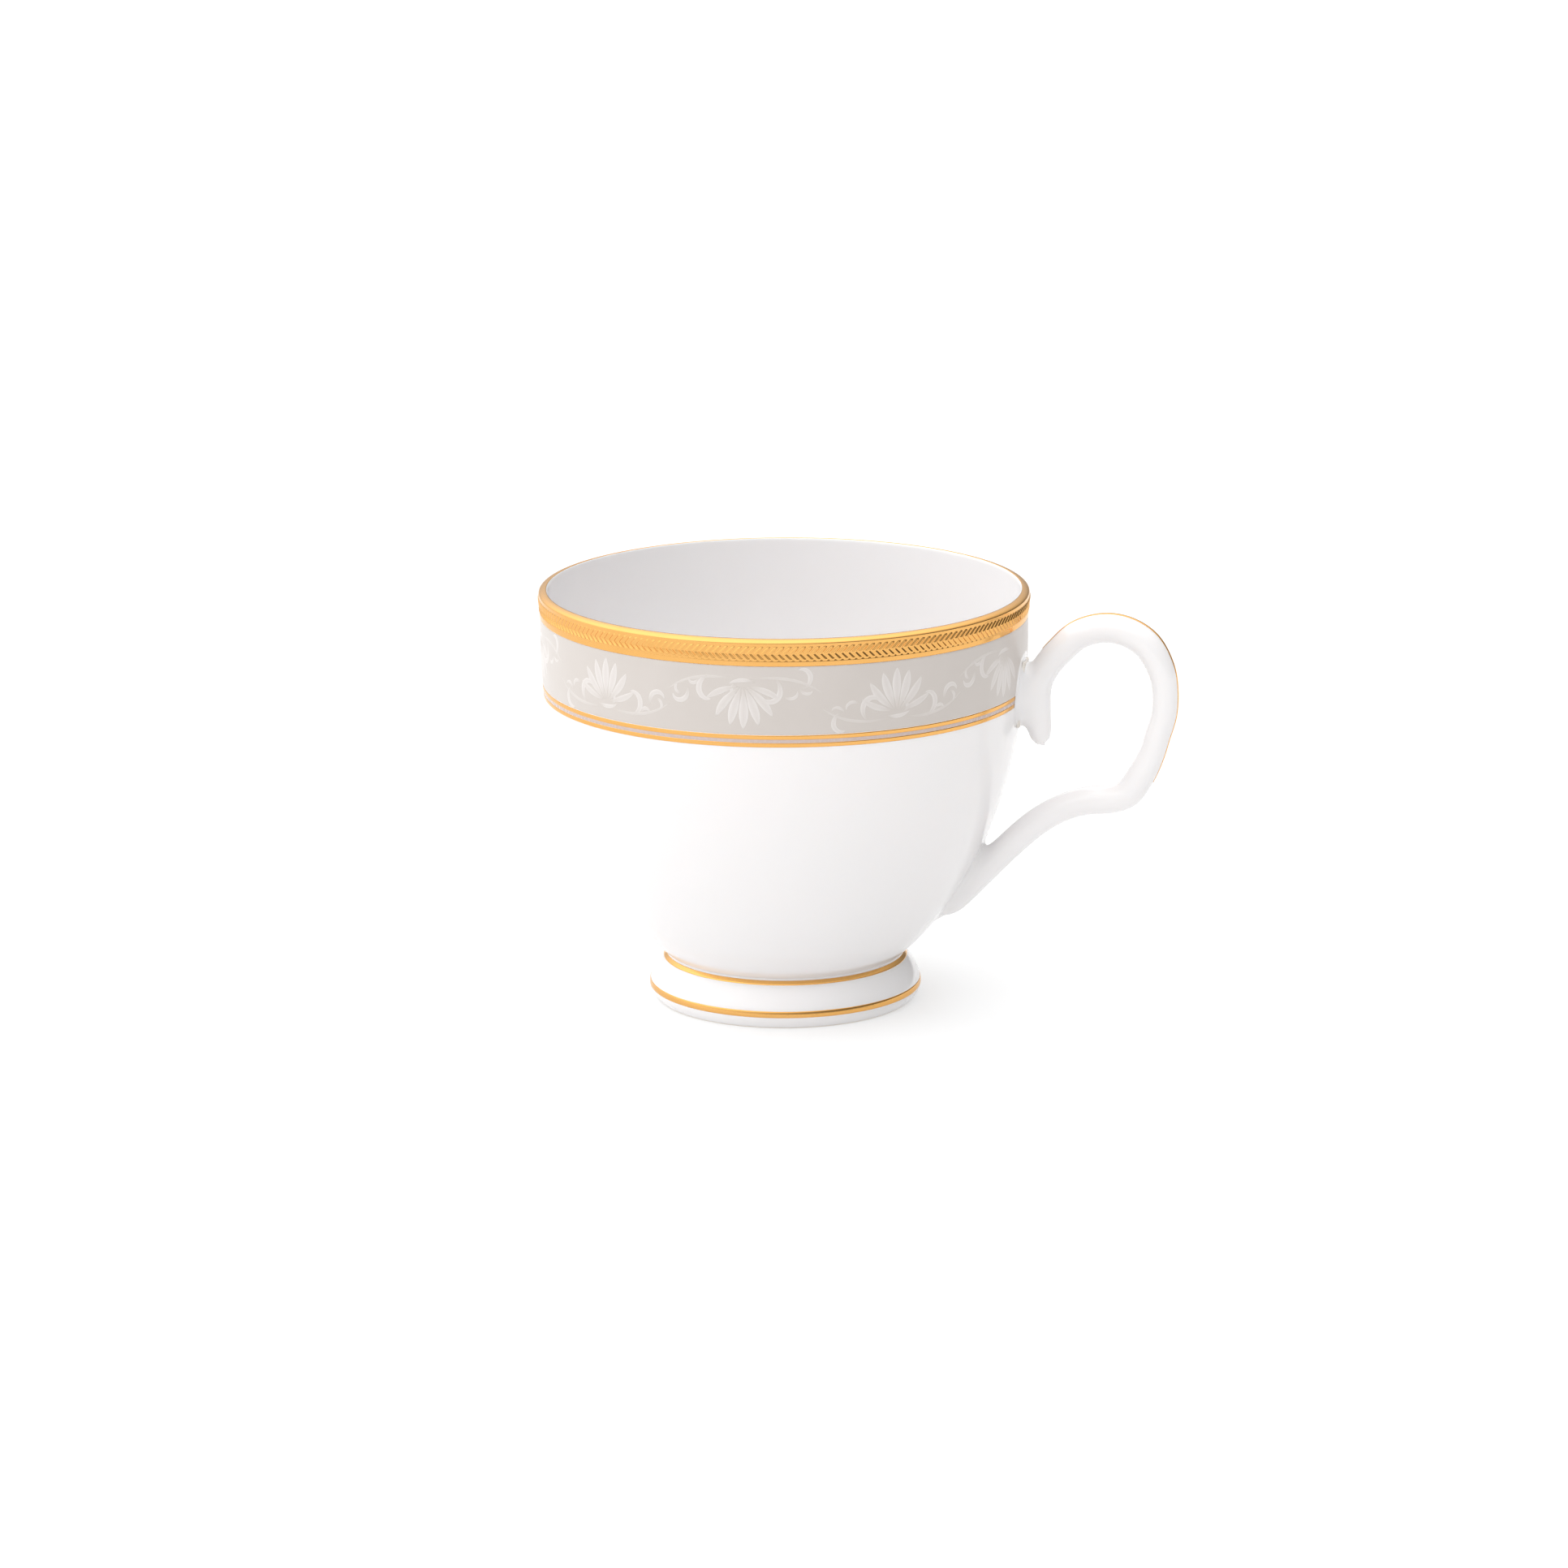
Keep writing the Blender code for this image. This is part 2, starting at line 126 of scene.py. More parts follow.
def buildPiece(name, points, faces, materials, faceMaterial=None, marks=None):
    # points in mm; faces is a list of index blocks; a closed skin is turned to face outwards
    points = np.asarray(points, float).reshape(-1, 3)
    if signedVolume(points - points.mean(0), faces) < 0:
        faces = [block[:, ::-1] for block in faces]
    corners = np.concatenate([block.ravel() for block in faces]).astype(np.int32)
    sizes = np.concatenate([np.full(len(block), block.shape[1]) for block in faces])
    mesh = bpy.data.meshes.new(name)
    mesh.vertices.add(len(points))
    mesh.vertices.foreach_set("co", (points * mm).astype(np.float32).ravel())
    mesh.loops.add(len(corners))
    mesh.loops.foreach_set("vertex_index", corners)
    mesh.polygons.add(len(sizes))
    mesh.polygons.foreach_set("loop_start", (np.cumsum(sizes) - sizes).astype(np.int32))
    mesh.polygons.foreach_set("use_smooth", np.ones(len(sizes), bool))
    for material in materials:
        mesh.materials.append(material)
    if faceMaterial is not None:
        mesh.polygons.foreach_set("material_index", faceMaterial.astype(np.int32))
    for mark, values in (marks or {}).items():
        attribute = mesh.attributes.new(mark, "FLOAT", "POINT")
        attribute.data.foreach_set("value", np.asarray(values, np.float32).ravel())
    mesh.update(calc_edges=True)
    mesh.validate()
    piece = bpy.data.objects.new(name, mesh)
    bpy.context.scene.collection.objects.link(piece)
    return piece


def finishPiece(piece, slotName, *nodes):
    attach(piece, "root")
    if nodes:
        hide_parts(*nodes)
    print("made", piece.name, len(piece.data.polygons), "faces")


def outsideRadius(height):
    # a quarter ellipse that stands on the table, upright above the shoulder, eased out to the lip
    drop = np.clip((cup["shoulder"] - height) / cup["shoulder"], 0, 1)
    swell = (cup["lipRadius"] - cup["bodyRadius"]) * smoothStep(height, cup["beadStart"], lipHeight)
    return cup["bodyRadius"] * np.sqrt(1 - drop * drop) + swell


def insideRadius(height):
    # a slightly fuller quarter ellipse below the shoulder, upright above it
    drop = np.clip((cup["shoulder"] - height) / (cup["shoulder"] - cup["floor"]), 0, 1)
    power = cup["boreRoundness"]
    return cup["boreRadius"] * (1 - drop ** power) ** (1 / power)


def heightOnBowl(radius):               # the outside's ellipse solved for height
    return cup["shoulder"] * (1 - np.sqrt(1 - (radius / cup["bodyRadius"]) ** 2))


creaseHeight = float(heightOnBowl(cup["creaseRadius"]))


def footOutside(height):
    # a power curve up from the widest height to the crease and another down to the tread
    widest = foot["widestHeight"]
    rise = np.clip((height - widest) / (creaseHeight - widest), 0, None)
    fall = np.clip((widest - height) / widest, 0, 1)
    return (foot["radius"] - foot["bulge"] * rise ** foot["upperRoundness"]
            - (foot["radius"] - foot["treadOuter"]) * fall ** foot["lowerRoundness"])


def lipArc(count, start=0.0, end=180.0):
    # two quarter ellipses over the lip, narrow inside and wide outside; 0 is inside, 180 outside
    angle = np.radians(np.linspace(start, end, count))
    inner, outer = cup["lipCrest"] - cup["boreRadius"], cup["lipRadius"] - cup["lipCrest"]
    reach = np.where(np.cos(angle) > 0, inner, outer)
    return np.stack([cup["lipCrest"] - reach * np.cos(angle),
                     lipHeight + cup["lipRise"] * np.sin(angle)], -1)


def pushOut(path, lift):                # each point moves along its own normal by lift
    along = np.gradient(path, axis=0)
    along /= np.linalg.norm(along, axis=1, keepdims=True)
    return path + np.stack([-along[:, 1], along[:, 0]], -1) * np.reshape(lift, (-1, 1))


def waver(angle, height):
    # a low two-lobed sine and half as much of a three-lobed one, nothing at the table
    two, three = cup["waverTurns"]
    lobes = np.sin(2 * angle + two) + 0.5 * np.sin(3 * angle + three)
    return cup["waver"] * lobes * height / cup["height"]


def spin(path, angle):                  # (radius, height) carried round the axis -> x, y, z
    radius, height = path[..., 0:1], path[..., 1:2]
    radius = radius + waver(angle, height) * np.clip(radius / cup["bodyRadius"], 0, 1)
    return np.stack([axisX + radius * np.cos(angle), radius * np.sin(angle),
                     height + 0 * angle], -1)


def fullTurn(columns):
    return np.linspace(0, turn, columns, endpoint=False)[None, :]


def bentLine(start, pull, end, count):  # (1-t)^2 start + 2t(1-t) pull + t^2 end, t from 0 to 1
    part = np.linspace(0, 1, count)[:, None]
    return (1 - part) ** 2 * start + 2 * part * (1 - part) * pull + part ** 2 * end


def colour(code):                       # sRGB hex to linear RGBA
    parts = [int(code[i:i + 2], 16) / 255 for i in (0, 2, 4)]
    linear = [c / 12.92 if c <= 0.04045 else ((c + 0.055) / 1.055) ** 2.4 for c in parts]
    return (*linear, 1.0)


def feed(owner, node, feeds):           # a feed is a value, or another node's output to link
    for socket, value in feeds.items():
        if isinstance(value, bpy.types.NodeSocket):
            owner.node_tree.links.new(value, node.inputs[socket])
        else:
            node.inputs[socket].default_value = value


def addNode(owner, kind, settings, feeds):
    node = owner.node_tree.nodes.new(kind)
    for key, value in settings.items():
        setattr(node, key, value)
    feed(owner, node, feeds)
    return node


def perMetre(size):                     # texture scale whose features are about this many mm
    return 1 / (size * mm)


def newMaterial(name):
    material = bpy.data.materials.new(name)
    material.use_nodes = True
    shader = material.node_tree.nodes["Principled BSDF"]
    place = addNode(material, "ShaderNodeTexCoord", {}, {}).outputs["Object"]
    return material, shader, place


porcelainLook = {
    "colours": ("E8E5E5", "E5E4E4"),
    "driftSize": 22.0,              # the glaze's depth drifts over about this distance
    "rippleSize": 5.0,              # the slow ripple that a melted glaze sets with
    "rippleDepth": 0.004,
    "sheenSize": 3.0,
    "roughness": (0.10, 0.15),
    "ior": 1.52,
    "sinkShare": 0.2,               # share of the light that sinks into the body
    "sinkReach": (1.0, 0.9, 0.8),   # red goes furthest
    "sinkDepth": 1.2,
}


def makeGlazedPorcelain():
    # hard white porcelain under a clear feldspar glaze: smooth, softly glossy, with light
    # sinking a little way into the body, and glaze that lies faintly uneven
    look = porcelainLook
    material, shader, place = newMaterial("glazed porcelain")
    drift = addNode(material, "ShaderNodeTexNoise", {}, {
        "Vector": place, "Scale": perMetre(look["driftSize"])})
    ripple = addNode(material, "ShaderNodeTexNoise", {}, {
        "Vector": place, "Scale": perMetre(look["rippleSize"]), "Detail": 1.0})
    sheen = addNode(material, "ShaderNodeTexNoise", {}, {
        "Vector": place, "Scale": perMetre(look["sheenSize"])})
    tone = addNode(material, "ShaderNodeMix", {"data_type": "RGBA"}, {
        0: drift.outputs["Fac"],
        6: colour(look["colours"][0]), 7: colour(look["colours"][1])})
    gloss = addNode(material, "ShaderNodeMapRange", {}, {
        "Value": sheen.outputs["Fac"],
        "To Min": look["roughness"][0], "To Max": look["roughness"][1]})
    uneven = addNode(material, "ShaderNodeBump", {}, {
        "Height": ripple.outputs["Fac"], "Distance": look["rippleDepth"] * mm, "Strength": 1.0})
    feed(material, shader, {
        "Base Color": tone.outputs[2],
        "Roughness": gloss.outputs["Result"],
        "Normal": uneven.outputs["Normal"],
        "IOR": look["ior"],
        "Subsurface Weight": look["sinkShare"],
        "Subsurface Radius": look["sinkReach"],
        "Subsurface Scale": look["sinkDepth"] * mm,
    })
    return material


# both clays have a grain of about 0.05 mm, too fine to show, so it is drawn coarser
biscuitLook = {
    "name": "unglazed biscuit",
    "colours": ("E9E2D8", "DFD6CA"),
    "grainSize": 0.35,
    "grainDepth": 0.03,
    "roughness": 0.75,
    "ior": 1.5,
}
slipLook = {
    "name": "fired slip",
    "colours": ("E6E1DA", "D9D2C8"),
    "grainSize": 0.5,
    "grainDepth": 0.04,
    "roughness": 0.7,
    "ior": 1.5,
}


def makeBareClay(look):
    # biscuit is the cup's own body where the glaze was wiped off before firing: matt, creamy
    # and fine-grained. Slip is joining paste fired in the joint: chalky, a little greyer
    material, shader, place = newMaterial(look["name"])
    grain = addNode(material, "ShaderNodeTexNoise", {}, {
        "Vector": place, "Scale": perMetre(look["grainSize"]), "Detail": 3.0})
    tone = addNode(material, "ShaderNodeMix", {"data_type": "RGBA"}, {
        0: grain.outputs["Fac"],
        6: colour(look["colours"][0]), 7: colour(look["colours"][1])})
    rough = addNode(material, "ShaderNodeBump", {}, {
        "Height": grain.outputs["Fac"], "Distance": look["grainDepth"] * mm, "Strength": 1.0})
    feed(material, shader, {
        "Base Color": tone.outputs[2],
        "Roughness": look["roughness"],
        "Normal": rough.outputs["Normal"],
        "IOR": look["ior"],
    })
    return material


goldLook = {
    "colours": ("E6B069", "E0A95F"),
    "edgeTint": "FFF8EE",           # stays warm where it is seen edge on
    "driftSize": 6.0,               # the brush lays it thick and thin over this distance
    "rubSize": 0.6,                 # agate strokes are finer; drawn at the width that shows
    "rubDepth": 0.002,
    "roughness": (0.13, 0.21),
}


def makeBurnishedGold():
    # liquid bright gold, brushed on, fired and rubbed with agate: warm, soft-edged reflections
    # and faint brush drift along the line
    look = goldLook
    material, shader, place = newMaterial("burnished gold")
    drift = addNode(material, "ShaderNodeTexNoise", {}, {
        "Vector": place, "Scale": perMetre(look["driftSize"])})
    rub = addNode(material, "ShaderNodeTexNoise", {}, {
        "Vector": place, "Scale": perMetre(look["rubSize"]), "Detail": 3.0})
    tone = addNode(material, "ShaderNodeMix", {"data_type": "RGBA"}, {
        0: drift.outputs["Fac"],
        6: colour(look["colours"][0]), 7: colour(look["colours"][1])})
    gloss = addNode(material, "ShaderNodeMapRange", {}, {
        "Value": rub.outputs["Fac"],
        "To Min": look["roughness"][0], "To Max": look["roughness"][1]})
    strokes = addNode(material, "ShaderNodeBump", {}, {
        "Height": rub.outputs["Fac"], "Distance": look["rubDepth"] * mm, "Strength": 1.0})
    feed(material, shader, {
        "Base Color": tone.outputs[2],
        "Metallic": 1.0,
        "Specular Tint": colour(look["edgeTint"]),
        "Roughness": gloss.outputs["Result"],
        "Normal": strokes.outputs["Normal"],
    })
    return material


beigeLook = {
    "name": "beige enamel",
    "colours": ("C6BFBA", "C0B9B3"),
    "cloudSize": 9.0,
    "rippleSize": 3.0,
    "rippleDetail": 1.0,
    "roughness": (0.26, 0.36),
    "ior": 1.52,
}
taupeLook = {
    "name": "taupe enamel",
    "colours": ("C4B2AC", "BBA9A2"),
    "cloudSize": 4.0,
    "rippleSize": 0.6,
    "rippleDetail": 2.0,
    "roughness": (0.22, 0.32),
    "ior": 1.52,
}


def makeGroundEnamel(look):
    # overglaze enamel, laid by transfer or by the banding wheel and fired: silky and faintly
    # cloudy. The beige is the band's ground; the taupe is darker and slightly pink
    material, shader, place = newMaterial(look["name"])
    cloud = addNode(material, "ShaderNodeTexNoise", {}, {
        "Vector": place, "Scale": perMetre(look["cloudSize"]), "Detail": 3.0})
    ripple = addNode(material, "ShaderNodeTexNoise", {}, {
        "Vector": place, "Scale": perMetre(look["rippleSize"]), "Detail": look["rippleDetail"]})
    tone = addNode(material, "ShaderNodeMix", {"data_type": "RGBA"}, {
        0: cloud.outputs["Fac"],
        6: colour(look["colours"][0]), 7: colour(look["colours"][1])})
    gloss = addNode(material, "ShaderNodeMapRange", {}, {
        "Value": ripple.outputs["Fac"],
        "To Min": look["roughness"][0], "To Max": look["roughness"][1]})
    feed(material, shader, {
        "Base Color": tone.outputs[2],
        "Roughness": gloss.outputs["Result"],
        "IOR": look["ior"],
    })
    return material


whiteLook = {
    "middle": "CDC7C3",             # of a stroke
    "edge": "D6D1CE",
    "thin": "C3BCB6",               # where the ground shows through
    "rippleSize": 0.8,
    "roughness": (0.26, 0.36),
    "ior": 1.52,
}


def makeWhiteEnamel():
    # thin white relief enamel over the ground: milky in the middle of a stroke, whiter where
    # it piles up along the edges, and thin where the brush set off
    look = whiteLook
    material, shader, place = newMaterial("white relief enamel")
    edge = addNode(material, "ShaderNodeAttribute", {"attribute_name": "edge"}, {})
    body = addNode(material, "ShaderNodeAttribute", {"attribute_name": "body"}, {})
    ripple = addNode(material, "ShaderNodeTexNoise", {}, {
        "Vector": place, "Scale": perMetre(look["rippleSize"])})
    milky = addNode(material, "ShaderNodeMix", {"data_type": "RGBA"}, {
        0: edge.outputs["Fac"], 6: colour(look["middle"]), 7: colour(look["edge"])})
    tone = addNode(material, "ShaderNodeMix", {"data_type": "RGBA"}, {
        0: body.outputs["Fac"], 6: colour(look["thin"]), 7: milky.outputs[2]})
    gloss = addNode(material, "ShaderNodeMapRange", {}, {
        "Value": ripple.outputs["Fac"],
        "To Min": look["roughness"][0], "To Max": look["roughness"][1]})
    feed(material, shader, {
        "Base Color": tone.outputs[2],
        "Roughness": gloss.outputs["Result"],
        "IOR": look["ior"],
    })
    return material


glazedPorcelain = makeGlazedPorcelain()
biscuit = makeBareClay(biscuitLook)
firedSlip = makeBareClay(slipLook)
burnishedGold = makeBurnishedGold()
beigeEnamel = makeGroundEnamel(beigeLook)
whiteEnamel = makeWhiteEnamel()
taupeEnamel = makeGroundEnamel(taupeLook)
print("finishes mixed")


def makeBowl():
    # a profile turned round the axis: from the middle of the floor up the bore, over the lip,
    # down the outside to the crease, then in under the bowl to the middle of its flat
    depth = cup["shoulder"] - cup["floor"]
    angle = np.linspace(0, np.pi / 2, cup["boreSteps"])[1:]
    height = cup["shoulder"] - depth * np.cos(angle)
    bore = np.stack([insideRadius(height), height], -1)
    height = np.linspace(cup["shoulder"], lipHeight, cup["collarSteps"])[1:-1]
    collar = np.stack([insideRadius(height), height], -1)
    height = np.linspace(lipHeight, cup["shoulder"], cup["wallSteps"])[1:]
    wall = np.stack([outsideRadius(height), height], -1)
    slope = np.arccos(1 - creaseHeight / cup["shoulder"])
    angle = np.linspace(np.pi / 2, slope, cup["sideSteps"])
    height = cup["shoulder"] * (1 - np.cos(angle))[1:]
    side = np.stack([outsideRadius(height), height], -1)
    flatEdge = cup["bodyRadius"] * math.sqrt(1 - (1 - cup["underside"] / cup["shoulder"]) ** 2)
    radius = np.linspace(cup["creaseRadius"], flatEdge, cup["underSteps"])[1:]
    under = np.stack([radius, heightOnBowl(radius)], -1)
    radius = np.linspace(flatEdge, 0, cup["flatSteps"])[1:-1]
    flat = np.stack([radius, np.full(len(radius), cup["underside"])], -1)
    path = np.concatenate([bore, collar, lipArc(cup["lipSteps"]), wall, side, under, flat])
    points = spin(path, fullTurn(cup["columns"]))
    rows, columns = points.shape[:2]
    poles = np.array([[axisX, 0, cup["floor"]], [axisX, 0, cup["underside"]]])
    around = np.arange(columns)
    after = (around + 1) % columns
    top = np.stack([np.full(columns, rows * columns), after, around], -1)
    last = (rows - 1) * columns
    bottom = np.stack([np.full(columns, rows * columns + 1), last + around, last + after], -1)
    piece = buildPiece("porcelain_bowl", np.concatenate([points.reshape(-1, 3), poles]),
                       [gridFaces(rows, columns), top, bottom], [glazedPorcelain])
    finishPiece(piece, "glazed_porcelain", "bowl")


makeBowl()


def footPath():
    # a short bent line from the bowl's side to the foot's, pulled into the crease, and then
    # the foot's outside down to the tread's edge
    out, down = (foot["creaseFillet"] * share for share in foot["filletShares"])
    proud = foot["filletProud"]
    radius = cup["creaseRadius"] + out
    start = np.array([radius - proud, float(heightOnBowl(radius)) + proud])
    corner = np.array([cup["creaseRadius"], creaseHeight])
    end = np.array([float(footOutside(creaseHeight - down)), creaseHeight - down])
    crease = bentLine(start, corner, end, foot["creaseSteps"])
    height = np.linspace(crease[-1, 1], 0, foot["sideSteps"])[1:]
    side = np.stack([footOutside(height), height], -1)
    side[-1, 0] = foot["treadOuter"]
    return np.concatenate([crease, side])


def makeFootRing():
    # a closed section turned round the axis: the outside, the flat tread, and a bent line up
    # the hollow into the bowl
    outside = footPath()
    outerEase, innerEase = foot["treadEase"]
    radius = np.linspace(foot["treadOuter"] - outerEase, foot["treadInner"] + innerEase,
                         foot["treadSteps"])
    tread = np.stack([radius, np.zeros(len(radius))], -1)
    top = foot["innerTop"]
    innerTop = np.array([top, float(heightOnBowl(top)) + foot["innerLap"]])
    pull = np.array([top + foot["innerPull"][0], foot["innerPull"][1]])
    innerEdge = np.array([foot["treadInner"], foot["innerEdgeHeight"]])
    inside = bentLine(innerEdge, pull, innerTop, foot["innerSteps"])
    points = spin(np.concatenate([outside, tread, inside]), fullTurn(cup["columns"]))
    faces = gridFaces(points.shape[0], points.shape[1], wrapRows=True)
    rowOfFace = faces.min(1) // cup["columns"]
    first = len(outside) - 2        # the biscuit starts just above the tread's edge
    onTread = (rowOfFace >= first) & (rowOfFace <= first + len(tread) + 1)
    piece = buildPiece("porcelain_foot_ring", points, [faces], [glazedPorcelain, biscuit],
                       faceMaterial=onTread)
    finishPiece(piece, "glazed_porcelain", "foot_ring")


makeFootRing()

handle = {
    # (distance from the cup's axis, height, tube radius) along the rod, from the free tail below
    # the root, past the root, over the crown and down onto the bowl
    "rod": ((45.3, 46.85, 0.45), (45.1, 47.4, 1.4), (44.7, 49.3, 2.08), (44.3, 53.0, 2.35),
            (44.4, 57.0, 2.4), (45.65, 60.15, 2.45), (48.05, 63.2, 2.5), (51.35, 66.2, 2.55),
            (55.6, 67.55, 2.58), (59.65, 67.05, 2.62), (63.15, 64.9, 2.58), (65.45, 61.1, 2.42),
            (66.3, 57.2, 2.28), (66.2, 53.0, 2.22), (65.1, 49.0, 2.2), (64.15, 45.8, 2.22),
            (62.6, 42.5, 2.4), (60.3, 38.9, 2.5), (57.15, 37.5, 2.5), (53.4, 37.1, 2.5),
            (49.45, 35.9, 2.4), (45.5, 33.7, 2.4), (41.55, 30.45, 2.4), (36.0, 24.8, 2.35),
            (32.4, 20.9, 2.3), (30.0, 18.3, 2.1), (28.3, 16.8, 1.5), (27.5, 16.1, 0.6)),
    "rootWeb": (42.9, 52.3, 58.3, 2.0),     # distance out, lowest and highest centre, radius
    "webBlend": 1.6,                # softness of web into rod
    "bowlBlend": (2.1, 3.6),        # softness of the joint with the bowl, and beside the root web
    "wideBlend": (50.5, 54.5, 59.6),    # heights where the wider joint starts, is widest and ends
    "skin": 0.6,                    # how deep the casting is let into the bowl's wall
    "sink": 0.03,                   # drawn in by this all over, so its edge dips under the glaze
    "skirt": 0.3,                   # how far past the soft joint the skin is kept
    "grid": 0.25,                   # spacing of the field that is skinned
    "fieldMargin": 4.5,             # field kept round the rod, in its plane
    "fieldHalfWidth": 7.0,          # and to each side of that plane
    "fieldReach": 4,                # grid steps from the surface over which it is worked out
    "rodSteps": 1400,
    "batches": 24,                  # keeps the distance tables small
}
handleGold = {
    "halfAngle": 10.0,              # half width of the line, seen from the rod's middle
    "span": (0.208, 0.598),         # part of the rod that carries it
    "tapers": (0.06, 0.10),         # share of the line over which each end narrows
    "bluntness": 0.02,              # how far before each end the narrowing would reach nothing
    "rodSteps": 2400,
    "steps": 260,
    # its section: place across as a share of the half width, and height over the glaze
    "across": (-1, -0.92, -0.6, -0.2, 0.2, 0.6, 0.92, 1, 0.9, 0, -0.9),
    "lift": (-0.02, 0.035, 0.05, 0.05, 0.05, 0.05, 0.035, -0.02, -0.08, -0.08, -0.08),
}


def rodPoints(count):
    # Catmull-Rom through the rod's points: a cubic in each span through its two ends, with
    # slopes set by the neighbours
    table = np.array(handle["rod"])
    ends = np.concatenate([table[:1], table, table[-1:]])
    place = np.linspace(0, len(table) - 1, count)
    i = np.minimum(place.astype(int), len(table) - 2)
    u = (place - i)[:, None]
    a, b, c, d = (ends[i + k] for k in range(4))
    return 0.5 * (2 * b + (c - a) * u + (2 * a - 5 * b + 4 * c - d) * u ** 2
                  + (3 * b - a - 3 * c + d) * u ** 3)


def softMin(a, b, reach):               # the smaller of two, rounded where they are within reach
    near = np.clip(1 - np.abs(a - b) / reach, 0, 1)
    return np.minimum(a, b) - reach * near ** 2 / 4


def handleField(x, y, z):
    # distance to the rod: in its own plane first, then with the sideways distance, less its
    # radius there; joined softly to the web and to the bowl, then trimmed to a thin skin
    rod = rodPoints(handle["rodSteps"]).astype(np.float32)
    flatX, flatZ = x[:, 0, :].ravel(), z[:, 0, :].ravel()
    nearest, radius = np.empty_like(flatX), np.empty_like(flatX)
    for part in np.array_split(np.arange(len(flatX)), handle["batches"]):
        gap = np.hypot(flatX[part, None] - rod[:, 0], flatZ[part, None] - rod[:, 1])
        best = gap.argmin(1)
        nearest[part], radius[part] = gap[np.arange(len(part)), best], rod[best, 2]
    shape = (x.shape[0], 1, x.shape[2])
    body = np.hypot(nearest.reshape(shape), y) - radius.reshape(shape)
    out, low, high, webRadius = handle["rootWeb"]
    web = np.sqrt((x - out) ** 2 + y ** 2 + (z - np.clip(z, low, high)) ** 2) - webRadius
    body = softMin(body, web, handle["webBlend"])
    nudge = 0.1
    slope = (outsideRadius(z + nudge) - outsideRadius(z - nudge)) / (2 * nudge)
    wall = (np.hypot(x, y) - outsideRadius(z)) / np.sqrt(1 + slope ** 2)
    narrow, wide = handle["bowlBlend"]
    start, most, end = handle["wideBlend"]
    reach = narrow + (wide - narrow) * smoothStep(z, start, most) * (1 - smoothStep(z, most, end))
    joined = softMin(body, wall, reach) + handle["sink"]
    return np.maximum.reduce([joined, -(wall + handle["skin"]), body - reach - handle["skirt"]])


def makeHandle():
    # the field's zero surface, skinned with quads on a square grid
    step, reach, margin = handle["grid"], handle["fieldReach"], handle["fieldMargin"]
    rod = np.array(handle["rod"])
    spans = ((rod[:, 0].min() - margin, rod[:, 0].max() + margin),
             (-handle["fieldHalfWidth"], handle["fieldHalfWidth"]),
             (rod[:, 1].min() - margin, rod[:, 1].max() + margin))
    starts = [math.floor(low / step) for low, high in spans]
    axes = [np.arange(start, math.ceil(high / step) + 1, dtype=np.float32) * step
            for start, (low, high) in zip(starts, spans)]
    x, y, z = np.meshgrid(*axes, indexing="ij")
    field = np.clip(handleField(x, y, z) / step, -reach, reach).astype(np.float32)
    grid = openvdb.FloatGrid(background=float(reach))
    grid.copyFromArray(field, ijk=tuple(starts), tolerance=0.0)
    points, quads = grid.convertToQuads(isovalue=0.0)
    points = points.astype(float) * step + np.array([axisX, 0, 0])
    piece = buildPiece("porcelain_handle", points, [quads.astype(np.int64)], [glazedPorcelain])
    finishPiece(piece, "glazed_porcelain", "handle")


def makeHandleGold():
    # a thin strip on the rod's outer side: an arc about the rod's middle, carried along it,
    # that narrows to nothing at both ends
    rod = rodPoints(handleGold["rodSteps"])
    along = np.gradient(rod[:, :2], axis=0)
    along /= np.linalg.norm(along, axis=1, keepdims=True)
    start, end = handleGold["span"]
    pick = (np.linspace(start, end, handleGold["steps"]) * (len(rod) - 1)).astype(int)
    rod, along = rod[pick], along[pick]
    part = np.linspace(0, 1, len(pick))
    blunt, (first, last) = -handleGold["bluntness"], handleGold["tapers"]
    taper = np.minimum(smoothStep(part, blunt, first), smoothStep(1 - part, blunt, last))
    half = np.radians(handleGold["halfAngle"]) * taper[:, None]
    across = np.array(handleGold["across"])[None, :]
    reach = rod[:, 2:3] + np.array(handleGold["lift"])[None, :]
    out = reach * np.cos(half * across)
    points = np.stack([axisX + rod[:, 0:1] - along[:, 1:2] * out, reach * np.sin(half * across),
                       rod[:, 1:2] + along[:, 0:1] * out], -1)
    rows, columns = points.shape[:2]
    caps = np.arange(columns)[None, :]
    faces = [gridFaces(rows, columns), caps[:, ::-1], caps + (rows - 1) * columns]
    piece = buildPiece("gold_line_on_handle", points, faces, [burnishedGold])
    finishPiece(piece, "burnished_gold", "handle_gold_line")


makeHandle()
makeHandleGold()

rim = {
    "bottom": 68.1,
    "lineTop": 69.15,               # plain line below the herringbone
    "patternTop": 71.5,             # plain lip above it
    "innerEdge": 82.0,              # degrees over the lip from its inside: gold starts at the crest
    "lift": 0.05,
    "lineLift": 0.10,
    "lineEase": 0.12,               # how softly the plain line and the pattern start and end
    "patternEase": 0.15,
    "edgeSink": 0.03,               # the skin's two edges dip this far under the glaze
    "chevrons": 224,
    "columnsEach": 9,
    "relief": 0.22,
    "valley": 0.15,                 # share of the relief that lies below the plain gold
    "armSlope": 1.0,                # along over up, for each arm of a chevron
    "sharpness": 1.2,
    "backBottom": (0.3, 0.15),      # the skin closes in the wall, this far in and up from its edge
    "backTop": 0.2,                 # and this far above the height where the lip starts
    "lipSteps": 14,
    "plainSteps": 4,
    "patternSteps": 19,
    "lineSteps": 8,
}


